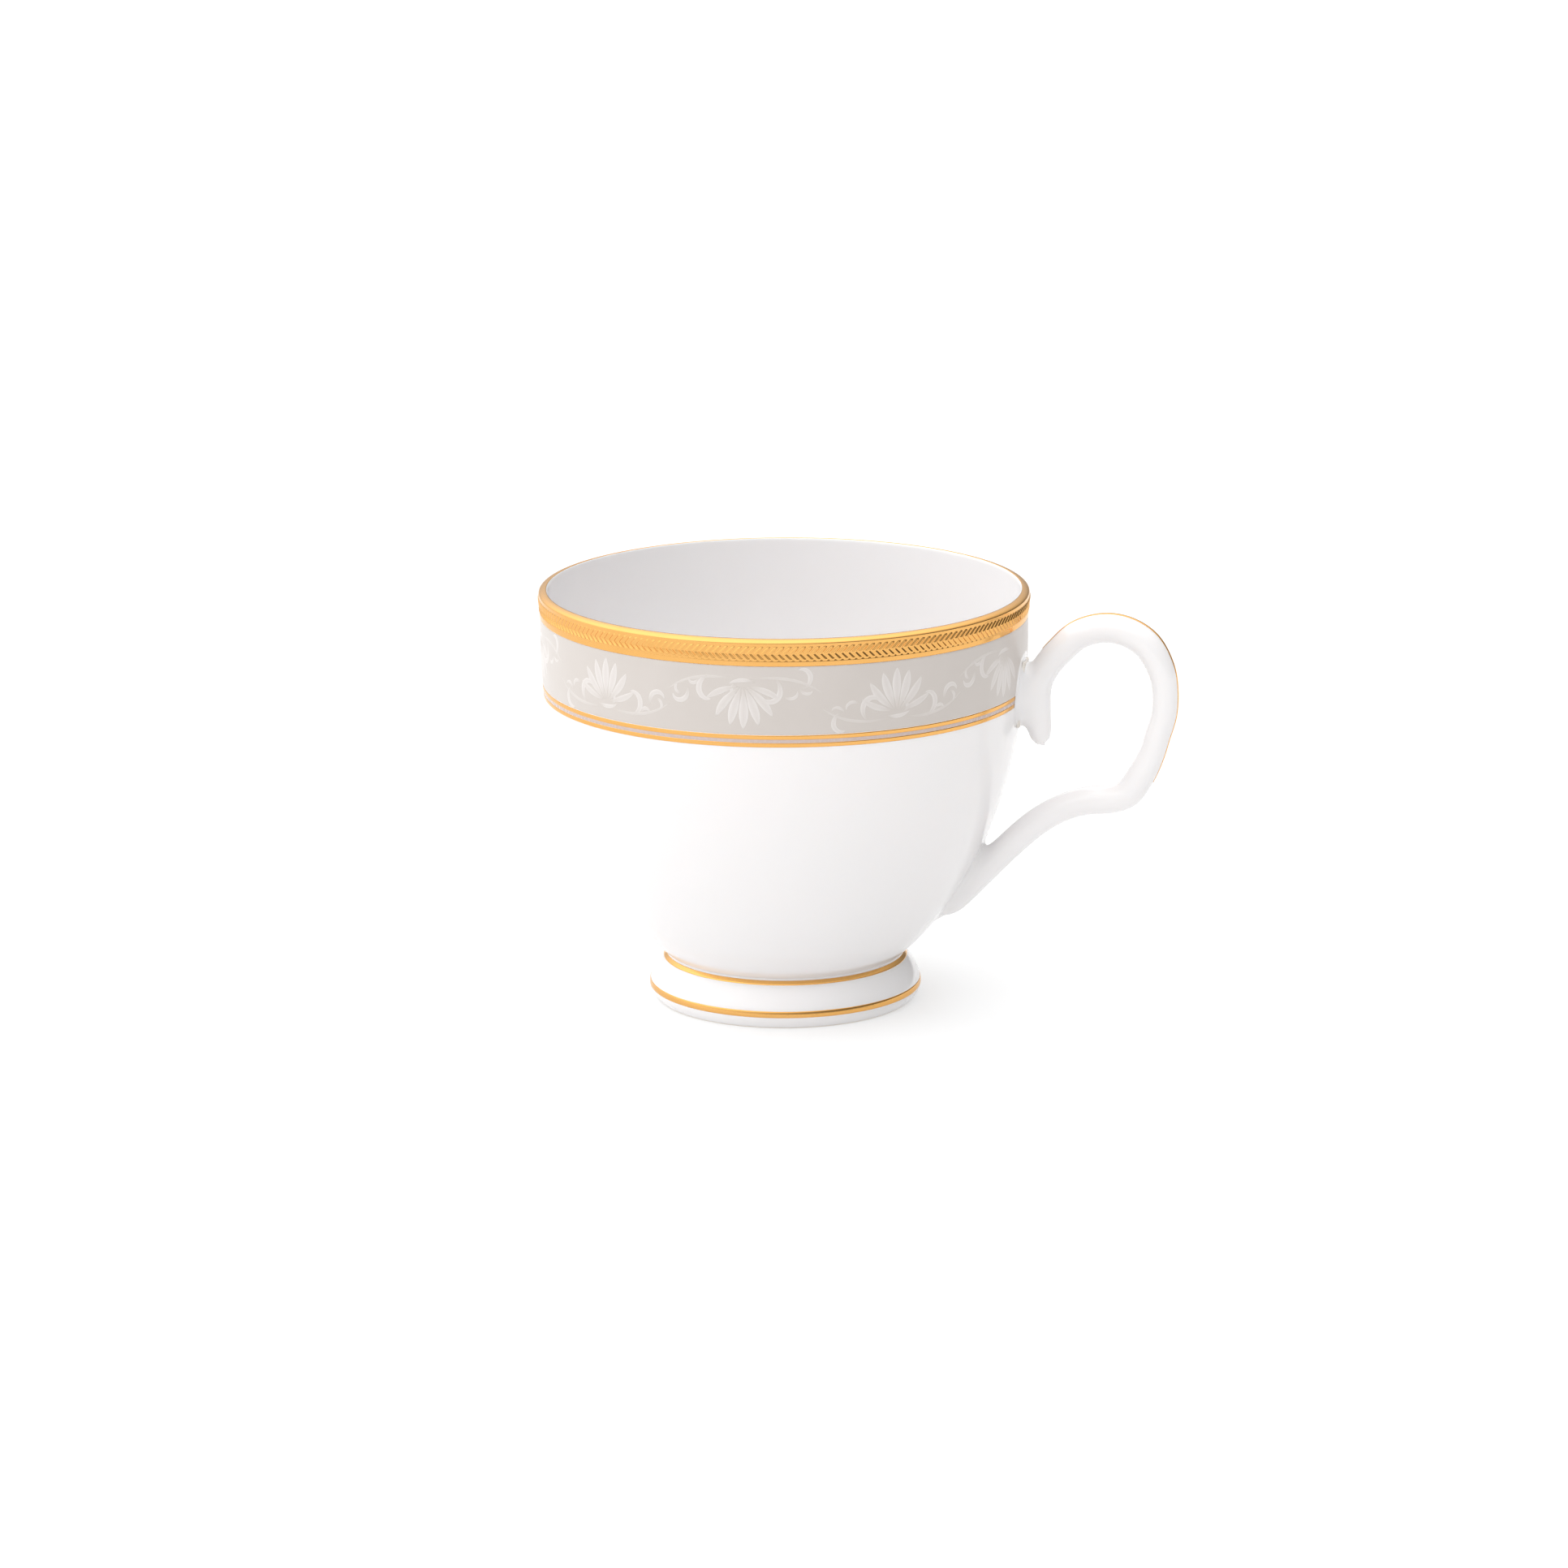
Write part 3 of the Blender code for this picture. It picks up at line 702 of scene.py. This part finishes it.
def makeRim():
    # a skin over the lip; inside the pattern its height is a rounded ridge, a power of
    # (1 + cos) / 2 of the distance along, less the distance from the pattern's middle line
    bottom, lineTop, patternTop = rim["bottom"], rim["lineTop"], rim["patternTop"]
    heights = np.concatenate([np.linspace(lipHeight, patternTop, rim["plainSteps"])[1:-1],
                              np.linspace(patternTop, lineTop, rim["patternSteps"]),
                              np.linspace(lineTop, bottom, rim["lineSteps"])[1:]])
    wall = np.stack([outsideRadius(heights), heights], -1)
    path = np.concatenate([lipArc(rim["lipSteps"], rim["innerEdge"]), wall])
    angle = fullTurn(rim["chevrons"] * rim["columnsEach"])
    height = path[:, 1:2]
    onWall = (np.arange(len(path)) >= len(path) - len(wall))[:, None]
    middle = (patternTop + lineTop) / 2
    pitch = turn * cup["lipRadius"] / rim["chevrons"]
    phase = angle * rim["chevrons"] - turn * rim["armSlope"] * np.abs(height - middle) / pitch
    ridge = (0.5 + 0.5 * np.cos(phase)) ** rim["sharpness"]
    ease = rim["patternEase"]
    window = (smoothStep(height, lineTop, lineTop + ease)
              * (1 - smoothStep(height, patternTop - ease, patternTop))) * onWall
    ease = rim["lineEase"]
    line = smoothStep(height, bottom, bottom + ease) * onWall
    line = line * (1 - smoothStep(height, lineTop - ease, lineTop))
    plain = rim["lift"] + (rim["lineLift"] - rim["lift"]) * line
    lift = plain + rim["relief"] * window * (ridge - rim["valley"])
    lift[0] = lift[-1] = -rim["edgeSink"]
    along = np.gradient(path, axis=0)
    along /= np.linalg.norm(along, axis=1, keepdims=True)
    outward = np.stack([-along[:, 1], along[:, 0]], -1)
    skin = path[:, None, :] + lift[:, :, None] * outward[:, None, :]
    inward, upward = rim["backBottom"]
    back = np.array([[outsideRadius(bottom) - inward, bottom + upward],
                     [cup["lipCrest"], lipHeight + rim["backTop"]]])
    back = np.repeat(back[:, None, :], angle.shape[1], axis=1)
    section = np.concatenate([skin, back])
    radius, height = section[..., 0], section[..., 1]
    radius = radius + waver(angle, height)
    points = np.stack([axisX + radius * np.cos(angle), radius * np.sin(angle), height], -1)
    faces = [gridFaces(points.shape[0], points.shape[1], wrapRows=True)]
    piece = buildPiece("gold_rim", points, faces, [burnishedGold])
    finishPiece(piece, "burnished_gold", "rim_gilding")


makeRim()

band = {
    "top": 68.12,
    "bottom": 56.4,
    "lift": 0.035,
    "edgeSink": 0.02,               # edges dip this far under the glaze, here and on the lines
    "back": 0.12,                   # how deep the hidden back of a fired layer lies
    "shoulderLift": 0.6,            # share of the lift beside each edge
    "rootHalfWidth": 5.7,           # bare glaze each side of the handle's root
    "rootTop": 62.8,                # bare glaze above it
    "rootRoundness": 2.4,
    "archSteps": 61,
    "sideSteps": 240,
    # places down the band, as a share of its height at that column: its face, then its back
    "face": (0, 0.004, 0.012, *np.linspace(0.03, 0.97, 26), 0.988, 0.996, 1),
    "backPlaces": (0.98, 0.66, 0.33, 0.02),
}
lines = {
    "gold_line_upper": (56.36, 55.57, 0.065),   # top, bottom, lift
    "taupe_line": (55.66, 54.94, 0.04),         # its edges lie under the gold
    "gold_line_lower": (55.02, 54.22, 0.065),
}
lineShape = {
    "places": (0, 0.08, 0.25, 0.5, 0.75, 0.92, 1, 0.9, 0.1),    # down the strip, face then back
    "crown": (0.7, 1, 1, 1, 0.7),   # height of the face between its edges, as a share of the lift
    "rootGap": 0.05,                # stops this much further from the handle than the band
    "steps": 360,
}


def layerPoints(angle, height, lift):
    # on the bowl's outside, raised along the normal that its slope over a small nudge gives
    nudge = 0.05
    slope = (outsideRadius(height + nudge) - outsideRadius(height - nudge)) / (2 * nudge)
    tilt = np.sqrt(1 + slope ** 2)
    radius = outsideRadius(height) + lift / tilt + waver(angle, height)
    return np.stack([axisX + radius * np.cos(angle), radius * np.sin(angle),
                     height - lift * slope / tilt + 0 * angle], -1)


def makeBand():
    # the lower edge rises round the handle's root in a rounded arch (a superellipse)
    half = band["rootHalfWidth"] / cup["bodyRadius"]
    part = np.linspace(-np.pi / 2, np.pi / 2, band["archSteps"])
    power = 2 / band["rootRoundness"]
    archAngle = half * np.sign(part) * np.abs(np.sin(part)) ** power
    archRise = (band["rootTop"] - band["bottom"]) * np.cos(part) ** power
    sides = np.linspace(half, turn - half, band["sideSteps"])[1:-1]
    angle = np.concatenate([archAngle, sides])[None, :]
    edge = np.full(len(sides), band["bottom"])
    edge = np.concatenate([band["bottom"] + archRise, edge])[None, :]
    raised = np.full(len(band["face"]), band["lift"])
    raised[[0, -1]] = -band["edgeSink"]
    raised[[1, -2]] = band["lift"] * band["shoulderLift"]
    back = np.full(len(band["backPlaces"]), -band["back"])
    lift = np.concatenate([raised, back])[:, None]
    down = np.array([*band["face"], *band["backPlaces"]])[:, None]
    points = layerPoints(angle, band["top"] + (edge - band["top"]) * down, lift)
    faces = [gridFaces(points.shape[0], points.shape[1], wrapRows=True)]
    piece = buildPiece("beige_band", points, faces, [beigeEnamel])
    finishPiece(piece, "beige_enamel", "decal_band")


def makeLine(node, material, slotName):
    # a raised strip round the bowl that stops short of the handle's root, closed by flat ends
    top, bottom, lift = lines[node]
    half = (band["rootHalfWidth"] + lineShape["rootGap"]) / cup["bodyRadius"]
    angle = np.linspace(half, turn - half, lineShape["steps"])[None, :]
    sink, deep = -band["edgeSink"], -band["back"]
    face = [share * lift for share in lineShape["crown"]]
    raised = np.array([sink, *face, sink, deep, deep])[:, None]
    height = top + (bottom - top) * np.array(lineShape["places"])[:, None]
    points = layerPoints(angle, height, raised)
    rows, columns = points.shape[:2]
    starts = np.arange(rows)[None, :] * columns
    faces = [gridFaces(rows, columns, wrapRows=True, wrapColumns=False), starts,
             (starts + columns - 1)[:, ::-1]]
    piece = buildPiece(node + "_ring", points, faces, [material])
    finishPiece(piece, slotName, node)


makeBand()
makeLine("gold_line_upper", burnishedGold, "burnished_gold")
makeLine("taupe_line", taupeEnamel, "taupe_enamel")
makeLine("gold_line_lower", burnishedGold, "burnished_gold")

footLines = {
    "foot_line_upper": (8.0, 7.25, 0.05),       # top, bottom, lift
    "foot_line_lower": (3.3, 2.1, 0.05),
}
footLineShape = {
    "steps": 12,
    "shoulderLift": 0.8,            # share of the lift beside each edge
    "backSteps": (0, 4, 8, 11),     # which steps of the face the hidden back repeats
}


def makeFootLine(node):
    # the foot's own profile between two heights, raised along its normal and turned round
    top, bottom, lift = footLines[node]
    path = footPath()
    arc = np.linspace(top, bottom, footLineShape["steps"])
    line = np.stack([np.interp(-arc, -path[:, 1], path[:, 0]), arc], -1)
    raised = np.full(len(arc), lift)
    raised[[0, -1]] = -band["edgeSink"]
    raised[[1, -2]] = lift * footLineShape["shoulderLift"]
    back = pushOut(line, -band["back"])[::-1][list(footLineShape["backSteps"])]
    points = spin(np.concatenate([pushOut(line, raised), back]), fullTurn(cup["columns"]))
    faces = [gridFaces(points.shape[0], points.shape[1], wrapRows=True)]
    piece = buildPiece(node + "_ring", points, faces, [burnishedGold])
    finishPiece(piece, "burnished_gold", node)


makeFootLine("foot_line_upper")
makeFootLine("foot_line_lower")

scroll = {
    "motifs": 10,                   # alternately upright and turned half round
    "firstAngle": -52.0,            # where an upright blossom stands, from the handle
    "middle": 62.2,                 # height of the band's middle line
    "relief": 0.022,
    # pen strokes of one motif: start along and up from its middle, length, heading, turn,
    # half width at the fullest place, where that is (0 start, 1 end), body of the enamel
    "strokes": (
        (0.0, -2.4, 7.2, 92, -6, 0.86, 0.62, 1.0), (0.3, -2.4, 6.9, 68, 12, 0.82, 0.60, 1.0),
        (-0.3, -2.4, 6.9, 114, -12, 0.82, 0.60, 1.0), (0.6, -2.4, 6.6, 42, 22, 0.74, 0.58, 0.9),
        (-0.6, -2.4, 6.6, 140, -22, 0.74, 0.58, 0.9), (0.9, -2.5, 6.0, 12, 26, 0.56, 0.55, 0.8),
        (-0.9, -2.5, 6.0, 168, -26, 0.56, 0.55, 0.8),
        (-1.9, -3.3, 4.4, -14, 46, 0.34, 0.5, 1.0), (1.4, -2.9, 2.6, 40, 150, 0.26, 0.4, 1.0),
        (1.0, -3.7, 12.9, -8, 46, 0.24, 0.5, 0.55), (-1.0, -3.7, 12.9, 188, -46, 0.24, 0.5, 0.55),
        (5.6, -4.4, 6.6, 24, 168, 0.52, 0.55, 1.0), (7.6, -3.6, 2.6, 70, -150, 0.30, 0.5, 0.9),
        (9.6, -1.9, 5.0, 96, -178, 0.44, 0.5, 1.0), (10.8, -0.6, 2.6, -16, -140, 0.26, 0.5, 0.9),
        (-5.4, -3.9, 7.0, 128, -196, 0.52, 0.5, 1.0), (-6.9, -0.8, 3.0, 150, 130, 0.28, 0.5, 0.9),
        (-10.0, -2.0, 5.4, 214, 172, 0.44, 0.55, 1.0), (-9.4, -2.2, 2.8, 120, 120, 0.24, 0.5, 0.9),
    ),
    "samples": 26,
    "curl": 1.5,                    # above 1, a stroke turns faster towards its end
    "fullness": 0.8,                # below 1, a stroke swells sooner and stays full longer
    "hairline": 0.02,               # half width left at its two ends
    "setOff": (-0.1, 0.45),         # the enamel thickens over this part of a stroke
    "fineStroke": (0.45, 0.4),      # share of the relief in a hairline; half width with all of it
    "margin": 0.3,                  # kept clear beside the handle's root and inside the band
    # a stroke's section: place across, height as a share of the relief, and how much it is edge
    "across": (-1, -0.82, -0.5, 0, 0.5, 0.82, 1, 0.6, -0.6),
    "crown": (-0.6, 0.55, 0.8, 1.0, 0.8, 0.55, -0.6, -2.0, -2.0),
    "edge": (1, 1, 0.35, 0, 0.35, 1, 1, 1, 1),
}


def strokePaths():
    # a pen line sets off at its heading and turns by a power of the way along it; places are
    # the running sum of the steps. All strokes of one motif at once: stroke, sample, (x, y)
    table = np.array(scroll["strokes"], float)
    x, y, length, heading, bend, width, full, body = (table[:, k:k + 1] for k in range(8))
    part = np.linspace(0, 1, scroll["samples"])[None, :]
    course = np.radians(heading + bend * part ** scroll["curl"])
    step = length / (scroll["samples"] - 1)
    along = np.cumsum(np.cos(course) * step, axis=1) - np.cos(course[:, :1]) * step + x
    up = np.cumsum(np.sin(course) * step, axis=1) - np.sin(course[:, :1]) * step + y
    # half width: a sine hump whose peak is moved to the fullest place
    peak = np.log(0.5) / np.log(full)
    wide = width * np.sin(np.pi * part ** peak) ** scroll["fullness"] + scroll["hairline"]
    faint = body * smoothStep(part, *scroll["setOff"])
    return along, up, course, wide, faint


def makeScrollwork():
    # a rounded section carried along each stroke and laid on the band, the motifs stepped
    # evenly round it; a stroke that would run past the handle's root is left out
    along, up, course, wide, faint = strokePaths()
    across, crown = np.array(scroll["across"]), np.array(scroll["crown"])
    sideX, sideY = -np.sin(course)[..., None], np.cos(course)[..., None]
    localX = along[..., None] + sideX * across * wide[..., None]
    localY = up[..., None] + sideY * across * wide[..., None]
    number = np.arange(scroll["motifs"])[:, None, None, None]
    side = np.where(number % 2 == 0, 1.0, -1.0)
    start = np.radians(scroll["firstAngle"]) + number * turn / scroll["motifs"]
    angle = start + side * localX[None] / cup["bodyRadius"]
    height = scroll["middle"] + side * localY[None]
    least, fullWidth = scroll["fineStroke"]
    fine = least + (1 - least) * np.minimum(1, wide[..., None] / fullWidth)
    lift = band["lift"] + scroll["relief"] * crown * fine + 0 * height
    points = layerPoints(angle, height, lift)
    motifs, strokes, samples, columns = points.shape[:4]
    count, one = motifs * strokes, samples * columns
    margin = scroll["margin"]
    fromRoot = np.abs((angle + np.pi) % turn - np.pi) * cup["bodyRadius"]
    keep = (fromRoot > band["rootHalfWidth"] + margin).reshape(count, -1).all(1)
    inside = (height < band["top"] - margin) & (height > band["bottom"] + margin)
    inside = inside.reshape(count, -1).all(1)
    print("strokes", keep.sum(), "of", len(keep), "inside the band", inside.sum())
    cap = np.arange(columns)[None, :]
    offsets = (np.arange(count) * one)[:, None, None]
    faces = [(gridFaces(samples, columns)[None] + offsets).reshape(-1, 4),
             (cap[None, :, ::-1] + offsets).reshape(-1, columns),
             (cap[None] + one - columns + offsets).reshape(-1, columns)]
    kept = np.repeat(keep, one)
    renumber = np.cumsum(kept) - 1
    faces = [renumber[block[kept[block[:, 0]]]] for block in faces]
    edge = np.broadcast_to(np.array(scroll["edge"]), points.shape[:4])
    body = np.broadcast_to(faint[None, ..., None], points.shape[:4])
    marks = {"edge": edge.reshape(-1)[kept], "body": body.reshape(-1)[kept]}
    piece = buildPiece("white_scrollwork", points.reshape(-1, 3)[kept], faces, [whiteEnamel],
                       marks=marks)
    finishPiece(piece, "beige_enamel")


makeScrollwork()

for slipName in ("handle_upper_slip", "handle_lower_slip", "foot_slip"):
    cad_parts[slipName].data.materials.clear()
    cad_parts[slipName].data.materials.append(firedSlip)
print("slip beds carried over in the joints")

studio = {
    "floorHalf": 6.0,               # metres
    "floorSquares": 8,              # along each side of the sheet
    "floorDrop": 0.02,              # keeps the sheet just under the tread
    "floorColours": ("C4C4C4", "C2C2C2"),
    "floorCloud": 400.0,            # its tone drifts over about this distance
    "floorRoughness": 0.8,
    "floorSpecular": 0.2,
    "floorGlow": 0.38,              # a softly lit table
    "skyColour": "FFFFFF",
    "skyRange": (0.11, 2.10),       # strength away from the big soft light and towards it
    "skyBright": (-0.40, -0.06, 1.0),      # where the room is brightest
    "skySpread": (-0.3, 1.0),       # cosines from that direction where it starts and is full
    "keyPlace": (-1.1, -1.2, 1.3),  # metres from the cup
    "keySize": 0.9,                 # metres
    "keyPower": 0.6,                # watts
    "keyColour": "FFF4EE",
    "cameraDistance": 1057.5,
    "cameraElevation": 14.14,
    "cameraAzimuth": -78.6,         # from the handle's direction
    "cameraClip": (0.05, 50.0),     # metres
    "aimHeight": 37.56,
    "aimAside": 0.126,              # to the left of the view
    "roll": -0.219,
    "lens": 139.86,
    "sensor": 36.0,
}


def makeFloor():
    # one large sheet, a flat grid of quads: matt pale board with a little even light of its own
    material, shader, place = newMaterial("plain floor")
    cloud = addNode(material, "ShaderNodeTexNoise", {}, {
        "Vector": place, "Scale": perMetre(studio["floorCloud"])})
    tone = addNode(material, "ShaderNodeMix", {"data_type": "RGBA"}, {
        0: cloud.outputs["Fac"],
        6: colour(studio["floorColours"][0]), 7: colour(studio["floorColours"][1])})
    feed(material, shader, {
        "Base Color": tone.outputs[2],
        "Roughness": studio["floorRoughness"],
        "Specular IOR Level": studio["floorSpecular"],
        "Emission Color": colour(studio["skyColour"]),
        "Emission Strength": studio["floorGlow"],
    })
    count = studio["floorSquares"] + 1
    side = np.linspace(-studio["floorHalf"], studio["floorHalf"], count) / mm
    x, y = np.meshgrid(side, side, indexing="ij")
    points = np.stack([x, y, np.full_like(x, -studio["floorDrop"])], -1).reshape(-1, 3) * mm
    faces = gridFaces(count, count, wrapColumns=False)[:, ::-1]
    mesh = bpy.data.meshes.new("floor")
    mesh.from_pydata(points.tolist(), [], faces.tolist())
    mesh.materials.append(material)
    mesh.update()
    floor = bpy.data.objects.new("floor", mesh)
    bpy.context.scene.collection.objects.link(floor)


def makeLight():
    # a white room whose brightness eases up with the cosine from its brightest direction,
    # and one weak round light
    world = bpy.data.worlds.new("soft room")
    bpy.context.scene.world = world
    world.use_nodes = True
    sky = world.node_tree.nodes["Background"]
    way = addNode(world, "ShaderNodeTexCoord", {}, {})
    facing = addNode(world, "ShaderNodeVectorMath", {"operation": "DOT_PRODUCT"}, {
        0: way.outputs["Generated"], 1: Vector(studio["skyBright"]).normalized()})
    glow = addNode(world, "ShaderNodeMapRange", {"interpolation_type": "SMOOTHSTEP"}, {
        "Value": facing.outputs["Value"],
        "From Min": studio["skySpread"][0], "From Max": studio["skySpread"][1],
        "To Min": studio["skyRange"][0], "To Max": studio["skyRange"][1]})
    feed(world, sky, {"Color": colour(studio["skyColour"]), "Strength": glow.outputs["Result"]})
    data = bpy.data.lights.new("key", "AREA")
    data.shape = "DISK"
    data.size = studio["keySize"]
    data.energy = studio["keyPower"]
    data.color = colour(studio["keyColour"])[:3]
    key = bpy.data.objects.new("key", data)
    bpy.context.scene.collection.objects.link(key)
    aim = Vector((axisX * mm, 0, cup["height"] * mm / 2))
    key.location = aim + Vector(studio["keyPlace"])
    key.rotation_mode = "QUATERNION"
    key.rotation_quaternion = (aim - key.location).to_track_quat("-Z", "Y")


def makeCamera():
    data = bpy.data.cameras.new("camera")
    data.sensor_width = studio["sensor"]
    data.lens = studio["lens"]
    data.clip_start, data.clip_end = studio["cameraClip"]
    camera = bpy.data.objects.new("camera", data)
    bpy.context.scene.collection.objects.link(camera)
    aim = Vector((axisX, 0, studio["aimHeight"])) * mm
    rise, side = math.radians(studio["cameraElevation"]), math.radians(studio["cameraAzimuth"])
    back = Vector((math.cos(rise) * math.cos(side), math.cos(rise) * math.sin(side),
                   math.sin(rise)))
    camera.location = aim + back * studio["cameraDistance"] * mm
    camera.rotation_mode = "QUATERNION"
    look = (-back).to_track_quat("-Z", "Y")
    camera.location += look @ Vector((-studio["aimAside"] * mm, 0, 0))
    camera.rotation_quaternion = look @ Quaternion((0, 0, 1), math.radians(studio["roll"]))
    bpy.context.scene.camera = camera


makeFloor()
makeLight()
makeCamera()
bpy.context.scene.view_settings.view_transform = "Standard"
print("floor, light and camera set")
